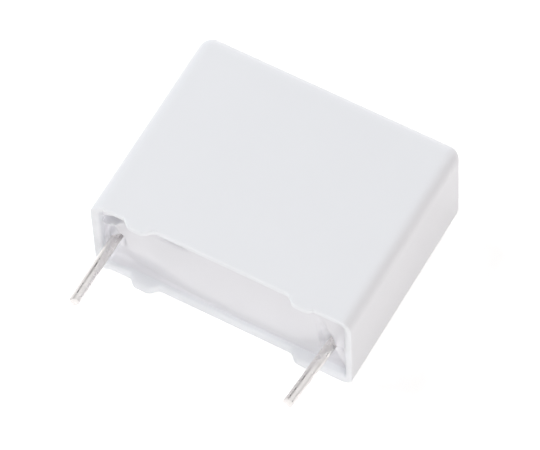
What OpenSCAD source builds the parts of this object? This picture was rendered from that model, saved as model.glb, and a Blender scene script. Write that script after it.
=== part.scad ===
// Box film capacitor, lying on one of its broad sides.
// A moulded plastic cup holds a flattened roll of metallised film. Sprayed metal covers the roll's two
// ends, a tinned wire is welded to each, and casting resin closes the cup around the two wires.
// X runs along the body's length, from wire to wire. The wires point along -Y, and Z is the thickness.
// The origin is the middle of the broad side that the part lies on.

/* [Body] */
// Distance between the two wires where they are welded, the lead spacing
pitch = 22.5; // [16:0.1:28]
// Distance along the body from a weld to the body's nearest end
end_margin = 2; // [1.9:0.05:3]
// Height of the body, from the tips of its feet to its closed end
body_h = 21.45; // [18:0.05:26]
// Thickness of the body, between its two broad sides
body_t = 10.7; // [8.5:0.1:14]
// Radius of the cup's outer edges
edge_r = 1.3; // [0.5:0.1:2]

/* [Cup walls] */
// Thickness of the four side walls
wall = 0.8; // [0.5:0.05:1.1]
// Thickness of the closed end
floor_wall = 1; // [0.6:0.1:1.6]
// Radius of the edges inside the cup
cavity_r = 0.5; // [0.2:0.1:1]
// Height of the two end walls above the rim of the broad walls
end_rim_h = 0.35; // [0.1:0.05:0.35]

/* [Stand-off feet] */
// Height of a foot above the cup's rim
foot_h = 0.75; // [0.4:0.05:1]
// Width of a foot where it meets the rim
foot_w = 3.6; // [2.8:0.1:5]
// Run of each curved flank of a foot
foot_flank = 1.3; // [0.9:0.1:1.4]
// Distance from the middle of the body to the middle of a foot
foot_x = 8.35; // [4:0.05:9.5]

/* [Casting resin] */
// Depth of the resin's surface below the rim
resin_drop = 0.55; // [0.4:0.05:1.2]
// Radius of the fillet with which the resin climbs the walls
resin_climb_r = 0.35; // [0.1:0.05:0.38]
// Width of the resin's edge where it stops climbing
resin_lip = 0.1; // [0.05:0.01:0.2]
// Depth of the hollow in the resin around each wire
hollow_depth = 0.5; // [0.2:0.05:0.8]
// Radius of the ball that shapes each hollow
hollow_r = 4.5; // [4.5:0.1:8]

/* [Wires] */
// Diameter of a wire
wire_d = 1; // [0.6:0.05:1]
// Length of a wire beyond the tips of the feet
wire_out = 6.5; // [3:0.1:25]
// Bevel on the cut end of a wire
wire_bevel = 0.12; // [0.05:0.01:0.2]
// Round part of a wire that stays below the resin's surface
wire_sunk = 0.05; // [0:0.01:0.06]
// Thickness to which a wire is flattened for welding
weld_t = 0.5; // [0.3:0.05:0.6]
// Width to which a wire is flattened for welding
weld_w = 1.5; // [1.1:0.1:2]
// Length of a wire that lies welded on the sprayed metal
weld_l = 10; // [6:0.1:14]
// Degrees by which the right wire is bent towards the middle above its weld
right_lean = 4.2; // [0:0.1:5]

/* [Film roll] */
// Resin between the roll and each broad wall
roll_gap = 0.4; // [0.2:0.05:1]
// Resin between the roll and the closed end
roll_floor_gap = 0.5; // [0.2:0.05:1.5]
// Resin above the roll, under the open end
roll_cover = 1.9; // [1.2:0.1:3]
// Thickness of the sprayed metal on each end of the roll
spray_t = 0.45; // [0.2:0.05:0.8]

/* [Hidden] */

$fn = 64;
cut = 1;                             // how far a cutting shape runs past what it cuts

// Places along Y, from the wires' ends to the closed end
feet_y = -body_h / 2;
rim_y = feet_y + foot_h;
end_rim_y = rim_y - end_rim_h;
resin_y = rim_y + resin_drop;
hollow_y = resin_y + hollow_depth;
roll_y0 = resin_y + roll_cover;
cavity_y = body_h / 2 - floor_wall;
roll_y1 = cavity_y - roll_floor_gap;
wire_tip_y = feet_y - wire_out;
wire_root_y = hollow_y + wire_sunk;

body_l = pitch + 2 * end_margin;
mid_z = body_t / 2;
cavity_l = body_l - 2 * wall;
cavity_t = body_t - 2 * wall;
roll_t = cavity_t - 2 * roll_gap;
roll_l = pitch - weld_t - 2 * spray_t;
LEFT = -1;
RIGHT = 1;

// Lays what is drawn upwards from the ground along +Y, half-way through the body's thickness.
module along_y(x, y) {
    translate([x, y, mid_z]) rotate([-90, 0, 0]) children();
}

// A block from y0 to y1, l long and t thick, with its long edges and its far end rounded by r.
module rounded_cup(l, t, y0, y1, r) {
    end_y = y1 - r;
    core_l = l - 2 * r;
    core_t = t - 2 * r;
    translate([0, 0, mid_z]) {
        translate([-l / 2, y0, -core_t / 2]) cube([l, end_y - y0, core_t]);
        translate([-core_l / 2, y0, -t / 2]) cube([core_l, end_y - y0, t]);
        translate([-core_l / 2, y0, -core_t / 2]) cube([core_l, y1 - y0, core_t]);
        for (x = [-core_l / 2, core_l / 2]) {
            translate([x, end_y, -core_t / 2]) cylinder(r = r, h = core_t);
            for (z = [-core_t / 2, core_t / 2]) {
                translate([x, y0, z]) rotate([-90, 0, 0]) cylinder(r = r, h = end_y - y0);
                translate([x, end_y, z]) sphere(r = r);
            }
        }
        for (z = [-core_t / 2, core_t / 2])
            translate([-core_l / 2, end_y, z]) rotate([0, 90, 0]) cylinder(r = r, h = core_l);
    }
}

// The space inside the cup, from y0 to the inside of its closed end.
module cavity(y0) {
    rounded_cup(cavity_l, cavity_t, y0, cavity_y, cavity_r);
}

// One flank of a foot: an arc that leaves the top level and an arc that meets the rim level, joined
// smoothly half-way down. It falls towards +X from the foot's flat top.
module foot_flank_outline() {
    r = (foot_flank * foot_flank + foot_h * foot_h) / (4 * foot_h);
    intersection() {
        square([foot_flank / 2, foot_h]);
        translate([0, foot_h - r]) circle(r = r);
    }
    difference() {
        translate([foot_flank / 2, 0]) square([foot_flank / 2, foot_h / 2]);
        translate([foot_flank, r]) circle(r = r);
    }
}

// A foot's outline, upright on y = 0.
module foot_outline() {
    top_w = foot_w - 2 * foot_flank;
    translate([-top_w / 2, 0]) square([top_w, foot_h]);
    for (side = [0, 1]) mirror([side, 0]) translate([top_w / 2, 0]) foot_flank_outline();
}

module case() {
    color("whitesmoke") {
        difference() {
            rounded_cup(body_l, body_t, end_rim_y, body_h / 2, edge_r);
            cavity(end_rim_y - cut);
            // the broad walls stop a little short of the end walls
            translate([-cavity_l / 2, end_rim_y - cut, -cut])
                cube([cavity_l, end_rim_h + cut, body_t + 2 * cut]);
        }
        // two feet on the rim of each broad wall
        for (x = [-foot_x, foot_x], z = [0, body_t - wall])
            translate([x, rim_y, z]) mirror([0, 1, 0]) linear_extrude(wall) foot_outline();
    }
}

module potting_resin() {
    climb_y = resin_y - resin_climb_r;
    color("gainsboro") difference() {
        intersection() {
            cavity(rim_y - cut);
            translate([-body_l / 2, climb_y, 0]) cube([body_l, body_h, body_t]);
        }
        rounded_cup(cavity_l - 2 * resin_lip, cavity_t - 2 * resin_lip, rim_y - cut, resin_y, resin_climb_r);
        for (side = [LEFT, RIGHT]) {
            leaning(side) along_y(side * pitch / 2, hollow_y - hollow_r) sphere(r = hollow_r);
            lead_shape(side);
            end_spray_shape(side);
        }
        roll_shape(-roll_l / 2, roll_l);
    }
}

// The roll's flattened outline, pushed l along X from x0. Its round ends face the open and closed ends.
module roll_shape(x0, l) {
    r = roll_t / 2;
    for (y = [roll_y0 + r, roll_y1 - r])
        translate([x0, y, mid_z]) rotate([0, 90, 0]) cylinder(r = r, h = l);
    translate([x0, roll_y0 + r, mid_z - r]) cube([l, roll_y1 - roll_y0 - 2 * r, roll_t]);
}

module film_winding() {
    color("lightsteelblue") roll_shape(-roll_l / 2, roll_l);
}

module end_spray_shape(side) {
    roll_shape(side == LEFT ? -roll_l / 2 - spray_t : roll_l / 2, spray_t);
}

module left_end_spray() {
    color("darkgray") end_spray_shape(LEFT);
}

module right_end_spray() {
    color("darkgray") end_spray_shape(RIGHT);
}

// How far a wire leans towards the middle of the body, in degrees about +Z.
function lean(side) = side == RIGHT ? right_lean : 0;

// Bends what is drawn on the line of a wire to its lean, at the edge of the film roll.
module leaning(side) {
    translate([side * pitch / 2, roll_y0, 0]) rotate([0, 0, -side * lean(side)])
        translate([-side * pitch / 2, -roll_y0, 0]) children();
}

// A flattened stretch of wire from y0 to y1.
module flat_wire(x, y0, y1) {
    translate([x - weld_t / 2, y0, mid_z - weld_w / 2]) cube([weld_t, y1 - y0, weld_w]);
}

// A wire, round where it stands free. Below the resin it is flattened, and welded to the sprayed metal.
module lead_shape(side) {
    x = side * pitch / 2;
    leaning(side) {
        along_y(x, wire_tip_y) cylinder(r1 = wire_d / 2 - wire_bevel, r2 = wire_d / 2, h = wire_bevel);
        along_y(x, wire_tip_y + wire_bevel)
            cylinder(r = wire_d / 2, h = wire_root_y - wire_tip_y - wire_bevel);
        flat_wire(x, wire_root_y, roll_y0);
    }
    flat_wire(x, roll_y0, roll_y0 + weld_l);
}

module left_lead() {
    color("silver") lead_shape(LEFT);
}

module right_lead() {
    color("silver") lead_shape(RIGHT);
}

case();
potting_resin();
film_winding();
left_end_spray();
right_end_spray();
left_lead();
right_lead();
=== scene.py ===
# %% [markdown]
# # Dressing a box film capacitor
#
# A box film capacitor is a roll of metallised plastic film, sealed with resin in a small moulded cup.
# This lesson takes a finished CAD model, which holds every real size and place, and gives it the
# surfaces that the eye expects: satin moulded plastic, a poured resin face and drawn, tinned wire.
# The CAD model is loaded as a fixed frame. Nothing in it is moved; a piece that needs finer form is
# built again here, in the same place, and stands in for the plain one.

# %% Load the frame
import math

import bmesh
import bpy
from mathutils import Matrix, Vector, noise


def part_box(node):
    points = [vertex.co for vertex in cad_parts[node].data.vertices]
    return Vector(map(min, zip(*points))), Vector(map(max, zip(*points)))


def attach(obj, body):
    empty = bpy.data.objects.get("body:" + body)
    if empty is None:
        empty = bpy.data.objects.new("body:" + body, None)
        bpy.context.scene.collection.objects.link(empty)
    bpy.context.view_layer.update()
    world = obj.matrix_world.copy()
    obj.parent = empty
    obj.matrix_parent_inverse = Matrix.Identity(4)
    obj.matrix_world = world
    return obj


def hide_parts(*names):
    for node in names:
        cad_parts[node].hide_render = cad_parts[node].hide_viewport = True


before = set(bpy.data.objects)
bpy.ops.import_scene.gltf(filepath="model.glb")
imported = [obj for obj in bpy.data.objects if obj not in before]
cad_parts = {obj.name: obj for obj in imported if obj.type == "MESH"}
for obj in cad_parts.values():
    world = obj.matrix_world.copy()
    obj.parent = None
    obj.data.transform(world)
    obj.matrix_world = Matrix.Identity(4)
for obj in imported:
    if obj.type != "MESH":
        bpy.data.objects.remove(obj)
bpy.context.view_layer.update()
print("pieces in the frame:", sorted(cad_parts))

# %% [markdown]
# ## Sizes
#
# Meshes are easier to think about in millimetres, so every size below is in millimetres and one
# factor turns it to Blender's metres. Overall sizes are read from the frame. Only the sizes that a
# box cannot tell, such as a wall or a fillet, are written out again.

# %% Sizes of the cup, the resin and the wires, in millimetres
MM = 0.001


def box_mm(node_name):
    """The lowest and highest corner of a CAD piece, in millimetres."""
    low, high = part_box(node_name)
    return low / MM, high / MM


cup_low, cup_high = box_mm("case")
resin_high = box_mm("potting_resin")[1]
half_length = cup_high.x
half_thickness = (cup_high.z - cup_low.z) / 2
middle_z = (cup_high.z + cup_low.z) / 2
closed_end_y = cup_high.y

edge_radius = 1.3
wall = 0.8
floor_wall = closed_end_y - resin_high.y
foot_height = 0.75
foot_width = 3.6
foot_flank = 1.3
foot_place = 8.35
rim_y = cup_low.y + foot_height
resin_drop = 0.55
resin_y = rim_y + resin_drop

wire_radius = 0.5
weld_x = half_length - 2.0
right_lean = math.radians(4.2)

print(f"cup {2 * half_length:.1f} x {closed_end_y - cup_low.y:.2f} x {2 * half_thickness:.1f} mm")

# %% [markdown]
# ## The camera
#
# Small parts look best from far away through a long lens, so their edges stay nearly parallel.
# The camera stands on a sphere round the body's middle, given by an azimuth, an elevation and a
# distance, and is turned a little about its own axis.

# %% Place the camera
camera_azimuth = math.radians(32.15)
camera_elevation = math.radians(58.92)
camera_roll = math.radians(-3.37)
camera_distance = 449.4
camera_aim_right = -0.86
camera_aim_up = -1.77

toward_camera = Vector((
    math.sin(camera_azimuth) * math.cos(camera_elevation),
    -math.cos(camera_azimuth) * math.cos(camera_elevation),
    math.sin(camera_elevation),
))
level_right = Vector((math.cos(camera_azimuth), math.sin(camera_azimuth), 0))
level_up = toward_camera.cross(level_right)
camera_right = level_right * math.cos(camera_roll) + level_up * math.sin(camera_roll)
camera_up = level_up * math.cos(camera_roll) - level_right * math.sin(camera_roll)

body_middle = Vector((0, (rim_y + closed_end_y) / 2, middle_z))
camera_aim = body_middle + camera_right * camera_aim_right + camera_up * camera_aim_up

camera_data = bpy.data.cameras.new("camera")
camera_data.sensor_width = 36
camera_data.lens = 333.3
camera_data.clip_start = 0.01
camera_data.clip_end = 10
camera = bpy.data.objects.new("camera", camera_data)
camera.matrix_world = (
    Matrix.Translation((camera_aim + toward_camera * camera_distance) * MM)
    @ Matrix((camera_right, camera_up, toward_camera)).transposed().to_4x4()
)
bpy.context.scene.collection.objects.link(camera)
bpy.context.scene.camera = camera
print("camera at", [round(value, 3) for value in camera.location])

# %% [markdown]
# ## Helpers for meshes
#
# The cup and the resin share one idea: closed rings, all with the same number of points, joined by
# strips of four-sided faces. A ring is a rounded rectangle. Its corner centres stay put while its
# outline moves inwards, so walls keep their thickness round the corners.

# %% Rings that follow a rounded rectangle
ARC_STEPS = 12


def stops(start, end, step):
    """Even stops from start to end, both included, about one step apart."""
    count = max(1, round(abs(end - start) / step))
    return [start + (end - start) * index / count for index in range(count + 1)]


def outline(inset, long_stops, short_stops):
    """Points (x, z) round the cup's outline, moved inwards by inset, corner arcs included."""
    radius = edge_radius - inset
    reach_x = half_length - edge_radius
    reach_z = half_thickness - edge_radius
    points = []

    def corner(side_x, side_z, first_degree):
        for index in range(ARC_STEPS + 1):
            angle = math.radians(first_degree + 90 * index / ARC_STEPS)
            points.append((
                side_x * reach_x + radius * math.cos(angle),
                side_z * reach_z + radius * math.sin(angle),
            ))

    points += [(x, -reach_z - radius) for x in long_stops[1:-1]]
    corner(1, -1, -90)
    points += [(reach_x + radius, z) for z in short_stops[1:-1]]
    corner(1, 1, 0)
    points += [(x, reach_z + radius) for x in reversed(long_stops[1:-1])]
    corner(-1, 1, 90)
    points += [(-reach_x - radius, z) for z in reversed(short_stops[1:-1])]
    corner(-1, -1, 180)
    return points


def add_ring(mesh, points, height):
    """Adds a closed ring of vertices, where height(x, z) gives each one's y."""
    return [mesh.verts.new((x, height(x, z), z + middle_z)) for x, z in points]


def join_rings(mesh, ring_a, ring_b):
    """Joins two closed rings of equal length with a strip of faces."""
    for index in range(len(ring_a)):
        after = (index + 1) % len(ring_a)
        mesh.faces.new((ring_a[index], ring_a[after], ring_b[after], ring_b[index]))


def fill_core(mesh, long_stops, short_stops, height):
    """Fills the rectangle between the four corner centres with an even grid."""
    rows = [
        [mesh.verts.new((x, height(x, z), z + middle_z)) for x in long_stops]
        for z in short_stops
    ]
    for low_row, high_row in zip(rows, rows[1:]):
        for index in range(len(long_stops) - 1):
            mesh.faces.new((
                low_row[index], low_row[index + 1], high_row[index + 1], high_row[index],
            ))


def finish_mesh(mesh, name, flip=False):
    """Welds doubled points, turns faces outwards, and makes a smooth object of the mesh, in metres."""
    bmesh.ops.remove_doubles(mesh, verts=mesh.verts[:], dist=1e-4)
    bmesh.ops.dissolve_degenerate(mesh, edges=mesh.edges[:], dist=1e-5)
    bmesh.ops.recalc_face_normals(mesh, faces=mesh.faces[:])
    bmesh.ops.scale(mesh, vec=(MM, MM, MM), verts=mesh.verts[:])
    for face in mesh.faces:
        face.smooth = True
    data = bpy.data.meshes.new(name)
    mesh.to_mesh(data)
    mesh.free()
    data.set_sharp_from_angle(angle=math.radians(40))
    piece = bpy.data.objects.new(name, data)
    bpy.context.scene.collection.objects.link(piece)
    print(f"{name}: {len(data.vertices)} points, {len(data.polygons)} faces")
    return piece


# %% [markdown]
# ## The moulded cup
#
# The cup is injection-moulded in one shot. Its tell-tale forms are the generous round on the outer
# edges, a thin wall, a softly rounded rim, and two feet on each long wall, which keep the body
# off a circuit board so that solder and flux can drain. A solid with cut-outs would show knife-sharp
# edges, so the cup is drawn as one continuous skin, from the middle of the closed end over the wall and
# the rim down into the cavity. The feet come from lifting the rim's points along an S-shaped curve.

# %% Build the moulded cup
RIM_ROUND = 0.15   # round on the rim's outer edge
RIM_EDGE = 0.4     # wider round on its inner edge
RIM_STEPS = 4
END_RIM = 0.35     # how far the end walls stand out past the long ones
FILLET_STEPS = 10


def smooth_step(value):
    """0 below 0, 1 above 1, and an even S-curve made of two arcs between."""
    value = min(1.0, max(0.0, value))
    return 2 * value * value if value < 0.5 else 1 - 2 * (1 - value) ** 2


def rim_lift(x, z):
    """How far the rim stands out at a point of the outline: the feet, and the two end walls."""
    end_wall = END_RIM * smooth_step((abs(x) - half_length + 1.7) / 1.0)
    if abs(z) < half_thickness - edge_radius:
        return end_wall
    from_middle = abs(abs(x) - foot_place)
    foot = foot_height * smooth_step((foot_width / 2 - from_middle) / foot_flank)
    shoulder = (END_RIM if x > 0 else 0.1) if abs(x) > foot_place else 0.0
    return max(foot, end_wall, shoulder)


def cup_stops():
    """Stops along a long wall: fine where a foot rises, coarse between."""
    reach = half_length - edge_radius
    inner, outer = foot_place - foot_width / 2, foot_place + foot_width / 2
    half = stops(0, inner, 0.8) + stops(inner, outer, 0.1)[1:] + stops(outer, reach, 0.3)[1:]
    return [-x for x in reversed(half[1:])] + half


def build_cup():
    mesh = bmesh.new()
    long_stops = cup_stops()
    short_stops = stops(edge_radius - half_thickness, half_thickness - edge_radius, 0.5)
    rings = []

    def ring(inset, y, lift=0.0):
        points = outline(inset, long_stops, short_stops)
        rings.append(add_ring(mesh, points, lambda x, z: y - lift * rim_lift(x, z)))

    # the round of the closed end, from the flat end face outwards to the wall
    for index in range(FILLET_STEPS + 1):
        angle = math.pi / 2 * index / FILLET_STEPS
        ring(edge_radius * (1 - math.sin(angle)),
             closed_end_y - edge_radius * (1 - math.cos(angle)))
    # down the outside of the wall
    for y in stops(closed_end_y - edge_radius - 0.1, rim_y + RIM_ROUND + 0.3, 1.0):
        ring(0, y)
    # over the rim, which follows the feet
    for index in range(RIM_STEPS + 1):
        angle = math.pi / 2 * index / RIM_STEPS
        ring(RIM_ROUND * (1 - math.cos(angle)), rim_y + RIM_ROUND * (1 - math.sin(angle)), 1.0)
    for index in range(RIM_STEPS + 1):
        angle = math.pi / 2 * index / RIM_STEPS
        ring(wall - RIM_EDGE * (1 - math.sin(angle)), rim_y + RIM_EDGE * (1 - math.cos(angle)), 1.0)
    # down the inside of the wall to the round at the cavity's floor
    cavity_round = edge_radius - wall
    floor_y = closed_end_y - floor_wall
    for y in stops(rim_y + RIM_EDGE + 0.3, floor_y - cavity_round, 1.0):
        ring(wall, y)
    for index in range(1, FILLET_STEPS + 1):
        angle = math.pi / 2 * index / FILLET_STEPS
        ring(wall + cavity_round * (1 - math.cos(angle)),
             floor_y - cavity_round * (1 - math.sin(angle)))

    for ring_a, ring_b in zip(rings, rings[1:]):
        join_rings(mesh, ring_a, ring_b)
    fill_core(mesh, long_stops, short_stops, lambda x, z: closed_end_y)
    fill_core(mesh, long_stops, short_stops, lambda x, z: floor_y)
    return finish_mesh(mesh, "moulded_cup")


cup = build_cup()
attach(cup, "root")
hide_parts("case")

# %% [markdown]
# ## The poured resin
#
# Resin is poured in after the roll, and sets with a surface that no tool ever touches. It climbs
# every wall and wire that it wets, sinks a little as it cures, and leaves hollows where air escaped
# beside the wires. A height formula says how deep the surface lies at each point, as a sum of those
# few effects, and a fine grid follows it.

# %% Build the poured resin
RESIN_STEP = 0.16
RESIN_GAP = 0.004    # keeps its skin off the cup's
left_root = Vector((-weld_x, middle_z))


def wall_distance(x, z):
    """Distance from a point on the resin to the nearest wall of the cup."""
    reach_x = half_length - edge_radius
    reach_z = half_thickness - edge_radius
    corner = Vector((max(abs(x) - reach_x, 0.0), max(abs(z) - reach_z, 0.0)))
    if corner.length > 0:
        return edge_radius - wall - corner.length
    return edge_radius - wall + min(reach_x - abs(x), reach_z - abs(z))


def hill(offset, width):
    """1 at offset 0, falling to 0 at the width, with smooth ends."""
    return smooth_step(1 - abs(offset) / width)


def resin_depth(x, z):
    """Depth of the resin's surface below the rim. Here z counts from the middle of the thickness."""
    from_wall = max(wall_distance(x, z), 0.0)
    from_left = x + half_length - wall
    # it bulges a little along the middle, and sank most at the lower left
    depth = 0.30 + 0.012 * z * z + 0.02 * max(0.0, -1.5 - z) ** 2
    depth += 0.75 * math.exp(-((from_left / 6.0) ** 2)) * smooth_step((1.0 - z) / 5.5)
    # air left a pocket between the left wire, the end wall and the upper wall
    depth += 0.8 * smooth_step(1.6 - math.hypot((from_left - 0.6) / 0.75, (z - 0.6) / 1.35))
    # above it hangs a thread of resin, with a groove between the thread and the wall
    along_thread = smooth_step((2.3 - from_left) / 0.8)
    thread_z = 2.05 + 0.55 * from_left
    depth -= 0.3 * hill(z - thread_z, 0.4) * along_thread
    depth += 0.85 * hill(z - thread_z - 0.6, 0.42) * along_thread
    # the resin clings to the left wire, but for a hole on its right
    away = math.hypot(x - left_root.x, z)
    side_on = (x - left_root.x) / max(away, 1e-3)
    from_wire = max(away - wire_radius, 0.0)
    depth -= 0.85 * smooth_step(0.6 - 0.5 * side_on) * math.exp(-((from_wire / 0.35) ** 2))
    depth += 0.8 * math.exp(-(((x - left_root.x - 0.55) / 0.35) ** 2) - ((z - 0.1) / 0.8) ** 2)
    # beside the right wire a dull facet leans down, with a crease at each side
    crease_left = x - 9.3 - 0.1 * (3.0 - z)
    crease_right = x - 10.0 - 0.27 * (3.0 - z)
    inside = smooth_step(crease_left / 0.25 + 0.5) * smooth_step(0.5 - crease_right / 0.25)
    depth += inside * 0.13 * min(max(3.1 - z, 0.0), 3.6)
    # the resin clings to the right wire's far side and leaves a pit under it
    depth -= 0.4 * math.exp(-(((x - 11.5) / 0.45) ** 2) - ((z - 0.35) / 0.7) ** 2)
    depth += 0.5 * math.exp(-(((x - 11.75) / 0.28) ** 2) - ((z + 0.75) / 0.35) ** 2)
    depth += 0.3 * math.exp(-(((x - 10.6) / 0.7) ** 2) - ((z - 0.2) / 0.8) ** 2)
    # a narrow gap where the resin drew back from the upper wall
    depth += 0.7 * hill(x + 5.4, 2.2) * hill(z - 3.9, 0.6)
    # slow waves from curing
    depth += 0.04 * noise.noise(Vector((x * 0.22, z * 0.22, 3.7)))
    # it clings to the end walls, and meets the long ones just inside the rim
    at_end = smooth_step((2.5 - from_left) / 1.5) * smooth_step((0.5 - z) / 1.5)
    edge_depth = max(0.42, min(depth, 0.6) - 0.3 * at_end)
    depth += (edge_depth - depth) * math.exp(-from_wall / (0.18 + 0.25 * at_end))
    return min(depth, 2.25)


def build_resin():
    mesh = bmesh.new()
    reach_x = half_length - edge_radius
    reach_z = half_thickness - edge_radius
    long_stops = stops(-reach_x, reach_x, RESIN_STEP)
    short_stops = stops(-reach_z, reach_z, RESIN_STEP)
    inset = wall + RESIN_GAP
    round_radius = edge_radius - inset
    rings = []

    def surface(x, z):
        return rim_y + resin_depth(x, z)

    for step in stops(edge_radius, inset, 0.06):
        rings.append(add_ring(mesh, outline(step, long_stops, short_stops), surface))
    floor_y = closed_end_y - floor_wall - RESIN_GAP
    for y in stops(resin_y + 1.5, floor_y - round_radius, 2.0):
        rings.append(add_ring(mesh, outline(inset, long_stops, short_stops), lambda x, z: y))
    for index in range(1, FILLET_STEPS + 1):
        angle = math.pi / 2 * index / FILLET_STEPS
        y = floor_y - round_radius * (1 - math.sin(angle))
        step = inset + round_radius * (1 - math.cos(angle))
        rings.append(add_ring(mesh, outline(step, long_stops, short_stops), lambda x, z: y))
    for ring_a, ring_b in zip(rings, rings[1:]):
        join_rings(mesh, ring_a, ring_b)
    fill_core(mesh, long_stops, short_stops, surface)
    fill_core(mesh, long_stops, short_stops, lambda x, z: floor_y)
    return finish_mesh(mesh, "poured_resin")


resin = build_resin()
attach(resin, "root")
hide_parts("potting_resin")

# %% [markdown]
# ## The two wires
#
# The wires are cut to length with side cutters. Cutters do not leave a flat end: they nip the wire from
# two sides, so its tip is a blunt wedge with a ridge across it. Drawing, taping and handling leave the
# round part a little dented, which is what breaks up its reflections. Inside the resin each wire is
# pressed flat and welded to the sprayed metal, as in the CAD model.

# %% Build the two wires
WIRE_POINTS = 40
WIRE_STEP = 0.12
wire_low, wire_high = box_mm("left_lead")
roll_low = box_mm("film_winding")[0]
wire_tip_y = wire_low.y
wire_root_y = resin_y + 0.55
weld_thickness = 0.5
weld_width = wire_high.z - wire_low.z + 0.5


def wire_radius_at(angle, y, seed):
    """Radius of the wire, with shallow dents."""
    spot = Vector((math.cos(angle) * 0.9, y * 0.55, math.sin(angle) * 0.9 + seed))
    fine = Vector((math.cos(angle) * 2.4, y * 1.7, math.sin(angle) * 2.4 + seed))
    return wire_radius * (1 - 0.035 * abs(noise.noise(spot)) - 0.02 * abs(noise.noise(fine)))


def add_block(mesh, low, high):
    """Adds a plain box from one corner to the other."""
    made = bmesh.ops.create_cube(mesh, size=1.0)
    middle = (Vector(low) + Vector(high)) / 2
    size = Vector(high) - Vector(low)
    bmesh.ops.scale(mesh, vec=size, verts=made["verts"])
    bmesh.ops.translate(mesh, vec=middle, verts=made["verts"])
    return made["verts"]


def build_wire(name, side, lean, ridge_degrees, seed):
    mesh = bmesh.new()
    axis_x = side * weld_x
    ridge = math.radians(ridge_degrees)

    def ring(radius_share, y, wedge=0.0):
        """A ring of the wire. A wedge above 0 bends it to the two slopes of the nipped end."""
        verts = []
        for index in range(WIRE_POINTS):
            angle = 2 * math.pi * index / WIRE_POINTS
            radius = wire_radius_at(angle, y, seed) * radius_share
            x, z = radius * math.cos(angle), radius * math.sin(angle)
            across = x * math.cos(ridge) + z * math.sin(ridge)
            slope = wedge * (0.02 + 0.45 * abs(across + 0.1) + 0.12 * across)
            verts.append(mesh.verts.new((axis_x + x, y + slope, middle_z + z)))
        return verts

    end_y = wire_tip_y + 0.35
    rings = [ring(1, y) for y in stops(wire_root_y, end_y, WIRE_STEP)]
    for y_above, share in ((0.22, 1.0), (0.10, 1.0), (0.04, 0.99), (0.0, 0.93), (0.0, 0.7),
                           (0.0, 0.4), (0.0, 0.12)):
        rings.append(ring(share, wire_tip_y + y_above, wedge=1.0))
    for ring_a, ring_b in zip(rings, rings[1:]):
        join_rings(mesh, ring_a, ring_b)
    mesh.faces.new(rings[-1])
    mesh.faces.new(list(reversed(rings[0])))
    half = Vector((weld_thickness / 2, 0, weld_width / 2))
    add_block(mesh, (axis_x - half.x, wire_root_y, middle_z - half.z),
              (axis_x + half.x, roll_low.y, middle_z + half.z))
    bmesh.ops.rotate(mesh, cent=(axis_x, roll_low.y, 0), verts=mesh.verts[:],
                     matrix=Matrix.Rotation(-side * lean, 3, "Z"))
    add_block(mesh, (axis_x - half.x, roll_low.y, middle_z - half.z),
              (axis_x + half.x, wire_high.y, middle_z + half.z))
    wire = finish_mesh(mesh, name)
    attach(wire, "root")
    return wire


left_wire = build_wire("left_wire", -1, 0.0, 20, 1.3)
right_wire = build_wire("right_wire", 1, right_lean, 65, 7.9)
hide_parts("left_lead")
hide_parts("right_lead")

# %% [markdown]
# ## Shader helpers
#
# Colours are easiest to pick as the hex values of a paint chart, but shaders add light, so they need
# linear numbers. One function turns hex to linear, and one adds a node with its settings and links.

# %% Colour and node helpers


def linear(hex_colour):
    """An sRGB hex colour such as 'e6e6ea' as linear red, green, blue and alpha."""
    channels = [int(hex_colour[index:index + 2], 16) / 255 for index in (0, 2, 4)]
    return [
        value / 12.92 if value <= 0.04045 else ((value + 0.055) / 1.055) ** 2.4
        for value in channels
    ] + [1.0]


def add_node(tree, kind, inputs=None, **settings):
    """Adds a node. Inputs are values, or outputs of other nodes, which are linked."""
    new_node = tree.nodes.new(kind)
    for setting, value in settings.items():
        setattr(new_node, setting, value)
    for socket, value in (inputs or {}).items():
        if isinstance(value, bpy.types.NodeSocket):
            tree.links.new(value, new_node.inputs[socket])
        else:
            new_node.inputs[socket].default_value = value
    return new_node


def start_material(name):
    """An empty node material and its tree."""
    material = bpy.data.materials.new(name)
    material.use_nodes = True
    material.node_tree.nodes.clear()
    return material, material.node_tree


def per_metre(size_mm):
    """Texture scale for features of a size given in millimetres."""
    return 1 / (size_mm * MM)


def dress(node_object, material):
    """Gives an object one material, in place of whatever it has."""
    node_object.data.materials.clear()
    node_object.data.materials.append(material)


# %% [markdown]
# ## Moulded plastic
#
# The cup is PBT, a polyester that moulders load with white pigment and glass fibre. It is opaque, a
# little bluish, and satin: the mould is spark-eroded or lightly blasted, so its gloss is broken by a
# grain of some tens of microns, and the skin shows a faint, slow unevenness from the flow of the melt.

# %% Moulded PBT
PLASTIC_WHITE = "e8eaee"
PLASTIC_SHADE = "e5e7eb"


def moulded_polyester():
    material, tree = start_material("moulded_white_polyester")
    place = add_node(tree, "ShaderNodeTexCoord").outputs["Object"]
    flow = add_node(tree, "ShaderNodeTexNoise",
                    {"Vector": place, "Scale": per_metre(6), "Detail": 3.0, "Roughness": 0.5})
    colour = add_node(tree, "ShaderNodeMix",
                      {"Factor": flow.outputs["Fac"],
                       6: linear(PLASTIC_WHITE), 7: linear(PLASTIC_SHADE)},
                      data_type="RGBA")
    grain = add_node(tree, "ShaderNodeTexNoise",
                     {"Vector": place, "Scale": per_metre(0.25), "Detail": 2.0, "Roughness": 0.6})
    gloss = add_node(tree, "ShaderNodeMapRange",
                     {"Value": flow.outputs["Fac"], "To Min": 0.36, "To Max": 0.46})
    relief = add_node(tree, "ShaderNodeBump",
                      {"Height": grain.outputs["Fac"], "Strength": 0.25, "Distance": 0.004 * MM})
    shader = add_node(tree, "ShaderNodeBsdfPrincipled",
                      {"Base Color": colour.outputs[2], "Roughness": gloss.outputs["Result"],
                       "IOR": 1.57, "Normal": relief.outputs["Normal"]})
    add_node(tree, "ShaderNodeOutputMaterial", {"Surface": shader.outputs["BSDF"]})
    return material


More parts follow.
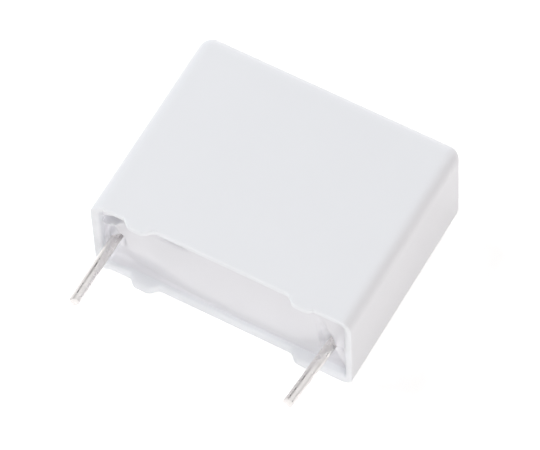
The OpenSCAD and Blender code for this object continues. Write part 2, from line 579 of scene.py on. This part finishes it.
dress(cup, moulded_polyester())
print("cup in", cup.data.materials[0].name)

# %% [markdown]
# ## Casting resin
#
# Two-part epoxy with a white filler. Poured, not moulded, so it is smoother and a shade greyer than
# the cup, with a soft wet-looking gloss. Slow ripples keep the reflections from lying still.

# %% Cast epoxy
RESIN_WHITE = "e0e0e5"
RESIN_SHADE = "dddde2"


def cast_epoxy():
    material, tree = start_material("cast_white_epoxy")
    place = add_node(tree, "ShaderNodeTexCoord").outputs["Object"]
    cloud = add_node(tree, "ShaderNodeTexNoise",
                     {"Vector": place, "Scale": per_metre(3), "Detail": 3.0, "Roughness": 0.5})
    colour = add_node(tree, "ShaderNodeMix",
                      {"Factor": cloud.outputs["Fac"], 6: linear(RESIN_WHITE), 7: linear(RESIN_SHADE)},
                      data_type="RGBA")
    ripple = add_node(tree, "ShaderNodeTexNoise",
                      {"Vector": place, "Scale": per_metre(0.9), "Detail": 1.0})
    relief = add_node(tree, "ShaderNodeBump",
                      {"Height": ripple.outputs["Fac"], "Strength": 0.2, "Distance": 0.02 * MM})
    shader = add_node(tree, "ShaderNodeBsdfPrincipled",
                      {"Base Color": colour.outputs[2], "Roughness": 0.3, "IOR": 1.55,
                       "Normal": relief.outputs["Normal"]})
    add_node(tree, "ShaderNodeOutputMaterial", {"Surface": shader.outputs["BSDF"]})
    return material


dress(resin, cast_epoxy())
print("resin in", resin.data.materials[0].name)

# %% [markdown]
# ## Tinned wire
#
# Copper wire drawn through a die and dipped in tin. Drawing leaves fine lines along it, and handling
# leaves dull patches, so the dark part of what it mirrors breaks into streaks.

# %% Tinned copper
def tinned_copper(name, lean):
    material, tree = start_material(name)
    place = add_node(tree, "ShaderNodeTexCoord").outputs["Object"]
    turned = add_node(tree, "ShaderNodeMapping", {"Vector": place, "Rotation": (0, 0, lean)})
    stretched = add_node(tree, "ShaderNodeMapping",
                         {"Vector": turned.outputs["Vector"], "Scale": (1, 0.12, 1)})
    lines = add_node(tree, "ShaderNodeTexNoise",
                     {"Vector": stretched.outputs["Vector"], "Scale": per_metre(0.16),
                      "Detail": 3.0, "Roughness": 0.7})
    patches = add_node(tree, "ShaderNodeTexNoise",
                       {"Vector": turned.outputs["Vector"], "Scale": per_metre(0.5), "Detail": 2.0})
    colour = add_node(tree, "ShaderNodeMix",
                      {"Factor": patches.outputs["Fac"], 6: linear("f2efee"), 7: linear("dcd8d6")},
                      data_type="RGBA")
    dullness = add_node(tree, "ShaderNodeMapRange",
                        {"Value": patches.outputs["Fac"], "From Min": 0.3, "From Max": 0.7,
                         "To Min": 0.22, "To Max": 0.42})
    relief = add_node(tree, "ShaderNodeBump",
                      {"Height": lines.outputs["Fac"], "Strength": 0.4, "Distance": 0.02 * MM})
    shader = add_node(tree, "ShaderNodeBsdfPrincipled",
                      {"Base Color": colour.outputs[2], "Metallic": 1.0,
                       "Roughness": dullness.outputs["Result"], "Normal": relief.outputs["Normal"]})
    add_node(tree, "ShaderNodeOutputMaterial", {"Surface": shader.outputs["BSDF"]})
    return material


dress(left_wire, tinned_copper("tinned_copper", 0))
dress(right_wire, tinned_copper("tinned_copper_leaning", right_lean))
print("wires in", left_wire.data.materials[0].name)

# %% [markdown]
# ## What the cup hides
#
# The roll is metallised polypropylene film: thousands of clear layers with a mirror-thin coat, which
# look like dull silver satin with fine lines along the edges of the turns. Its ends are sprayed with
# molten zinc, which sets as a coarse grey crust.

# %% Metallised film and sprayed zinc
def metallised_film():
    material, tree = start_material("metallised_polypropylene_film")
    place = add_node(tree, "ShaderNodeTexCoord").outputs["Object"]
    along = add_node(tree, "ShaderNodeMapping", {"Vector": place, "Scale": (0.02, 1, 1)})
    turns = add_node(tree, "ShaderNodeTexNoise",
                     {"Vector": along.outputs["Vector"], "Scale": per_metre(0.2), "Detail": 4.0})
    colour = add_node(tree, "ShaderNodeMix",
                      {"Factor": turns.outputs["Fac"], 6: linear("b4bac6"), 7: linear("8d94a3")},
                      data_type="RGBA")
    relief = add_node(tree, "ShaderNodeBump",
                      {"Height": turns.outputs["Fac"], "Strength": 0.4, "Distance": 0.02 * MM})
    shader = add_node(tree, "ShaderNodeBsdfPrincipled",
                      {"Base Color": colour.outputs[2], "Metallic": 0.8, "Roughness": 0.3,
                       "Normal": relief.outputs["Normal"]})
    add_node(tree, "ShaderNodeOutputMaterial", {"Surface": shader.outputs["BSDF"]})
    return material


def sprayed_zinc():
    material, tree = start_material("arc_sprayed_zinc")
    place = add_node(tree, "ShaderNodeTexCoord").outputs["Object"]
    splats = add_node(tree, "ShaderNodeTexVoronoi", {"Vector": place, "Scale": per_metre(0.15)})
    colour = add_node(tree, "ShaderNodeMix",
                      {"Factor": splats.outputs["Distance"], 6: linear("9a9a98"), 7: linear("6f6f6e")},
                      data_type="RGBA")
    relief = add_node(tree, "ShaderNodeBump",
                      {"Height": splats.outputs["Distance"], "Strength": 0.8, "Distance": 0.05 * MM})
    shader = add_node(tree, "ShaderNodeBsdfPrincipled",
                      {"Base Color": colour.outputs[2], "Metallic": 1.0, "Roughness": 0.65,
                       "Normal": relief.outputs["Normal"]})
    add_node(tree, "ShaderNodeOutputMaterial", {"Surface": shader.outputs["BSDF"]})
    return material


zinc = sprayed_zinc()
dress(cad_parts["film_winding"], metallised_film())
dress(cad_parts["left_end_spray"], zinc)
dress(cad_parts["right_end_spray"], zinc)
print("end sprays in", zinc.name)

# %% [markdown]
# ## Floor, world and lamps
#
# White parts on white paper: the floor shows the camera plain white but still takes the part's
# shadow, and it gives the part its own light back from below. The world gives gloss something white
# to mirror. Soft lamps stand round the part, each out of sight of its reflections.

# %% Floor
def shows_white(tree):
    """1 for rays that look at the background: straight from the camera, by gloss, or through glass."""
    rays = add_node(tree, "ShaderNodeLightPath").outputs
    seen = add_node(tree, "ShaderNodeMath",
                    {0: rays["Is Camera Ray"], 1: rays["Is Glossy Ray"]}, operation="MAXIMUM")
    return add_node(tree, "ShaderNodeMath",
                    {0: seen.outputs["Value"], 1: rays["Is Transmission Ray"]},
                    operation="MAXIMUM").outputs["Value"]


def white_paper():
    material, tree = start_material("white_paper")
    paper = add_node(tree, "ShaderNodeBsdfDiffuse", {"Color": linear("f2f2f2")})
    glow = add_node(tree, "ShaderNodeEmission", {"Color": (1, 1, 1, 1), "Strength": FLOOR_LIFT})
    lifted = add_node(tree, "ShaderNodeAddShader",
                      {0: paper.outputs["BSDF"], 1: glow.outputs["Emission"]})
    surface = add_node(tree, "ShaderNodeMixShader",
                       {0: shows_white(tree), 1: paper.outputs["BSDF"], 2: lifted.outputs["Shader"]})
    add_node(tree, "ShaderNodeOutputMaterial", {"Surface": surface.outputs["Shader"]})
    return material


FLOOR_LIFT = 0.40
floor_data = bpy.data.meshes.new("floor")
floor_data.from_pydata([(-2, -2, 0), (2, -2, 0), (2, 2, 0), (-2, 2, 0)], [], [(0, 1, 2, 3)])
floor = bpy.data.objects.new("floor", floor_data)
bpy.context.scene.collection.objects.link(floor)
dress(floor, white_paper())

# %% World
WORLD_STRENGTH = 0.02
world = bpy.data.worlds.new("studio")
world.use_nodes = True
world.node_tree.nodes.clear()
around = add_node(world.node_tree, "ShaderNodeBackground",
                  {"Color": (1, 1, 1, 1), "Strength": WORLD_STRENGTH})
backdrop = add_node(world.node_tree, "ShaderNodeBackground", {"Color": (1, 1, 1, 1), "Strength": 1.0})
sky = add_node(world.node_tree, "ShaderNodeMixShader",
               {0: shows_white(world.node_tree), 1: around.outputs["Background"],
                2: backdrop.outputs["Background"]})
add_node(world.node_tree, "ShaderNodeOutputWorld", {"Surface": sky.outputs["Shader"]})
bpy.context.scene.world = world

# %% Lamps
LAMPS = {
    # name: (azimuth from +X in degrees, elevation, distance in mm, side in mm, watts, colour)
    "left_high": (180, 45, 400, 260, 1.22, "ffffff"),
    "front_right_high": (315, 45, 400, 260, 0.56, "ffffff"),
    "front_right_low": (300, 18, 400, 260, 0.56, "fffbf6"),
    "front_low": (270, 18, 400, 260, 0.12, "ffffff"),
    "back_low": (90, 18, 400, 260, 0.82, "ffffff"),
    "right_low": (30, 8, 400, 200, 0.30, "ffe8e4"),
}


def toward(azimuth, elevation):
    """A direction from an azimuth and an elevation in degrees."""
    azimuth, elevation = math.radians(azimuth), math.radians(elevation)
    return Vector((
        math.cos(azimuth) * math.cos(elevation),
        math.sin(azimuth) * math.cos(elevation),
        math.sin(elevation),
    ))


def add_lamp(name, azimuth, elevation, distance, side, watts, colour):
    """A square soft lamp that looks at the middle of the body."""
    direction = toward(azimuth, elevation)
    data = bpy.data.lights.new(name, "AREA")
    data.shape = "SQUARE"
    data.size = side * MM
    data.energy = watts
    data.color = linear(colour)[:3]
    lamp = bpy.data.objects.new(name, data)
    lamp.location = (body_middle + direction * distance) * MM
    lamp.rotation_mode = "QUATERNION"
    lamp.rotation_quaternion = direction.to_track_quat("Z", "Y")
    lamp.visible_glossy = False
    bpy.context.scene.collection.objects.link(lamp)


for lamp_name, lamp_values in LAMPS.items():
    add_lamp(lamp_name, *lamp_values)
print(len(LAMPS), "lamps")

bpy.context.scene.view_settings.view_transform = "Standard"

# %% [markdown]
# ## Black cards
#
# Bright metal in white surroundings looks flat. Black cards out of sight give it dark lines, and
# deepen the rounded edge beside them.

# %% Black cards
CARDS = {
    # name: (azimuth from +X in degrees, elevation, distance, width and height in mm)
    "high_card": (135, 52, 500, 200, 200),
    "right_card": (27, 10, 500, 200, 150),
}
felt, felt_tree = start_material("black_felt")
felt_shader = add_node(felt_tree, "ShaderNodeBsdfDiffuse", {"Color": linear("181818")})
add_node(felt_tree, "ShaderNodeOutputMaterial", {"Surface": felt_shader.outputs["BSDF"]})


for card_name, (azimuth, elevation, distance, width, height) in CARDS.items():
    direction = toward(azimuth, elevation)
    half_width, half_height = width / 2 * MM, height / 2 * MM
    card_data = bpy.data.meshes.new(card_name)
    card_data.from_pydata([(-half_width, -half_height, 0), (half_width, -half_height, 0),
                           (half_width, half_height, 0), (-half_width, half_height, 0)],
                          [], [(0, 1, 2, 3)])
    card = bpy.data.objects.new(card_name, card_data)
    card.location = (body_middle + direction * distance) * MM
    card.rotation_mode = "QUATERNION"
    card.rotation_quaternion = direction.to_track_quat("Z", "Y")
    bpy.context.scene.collection.objects.link(card)
    dress(card, felt)
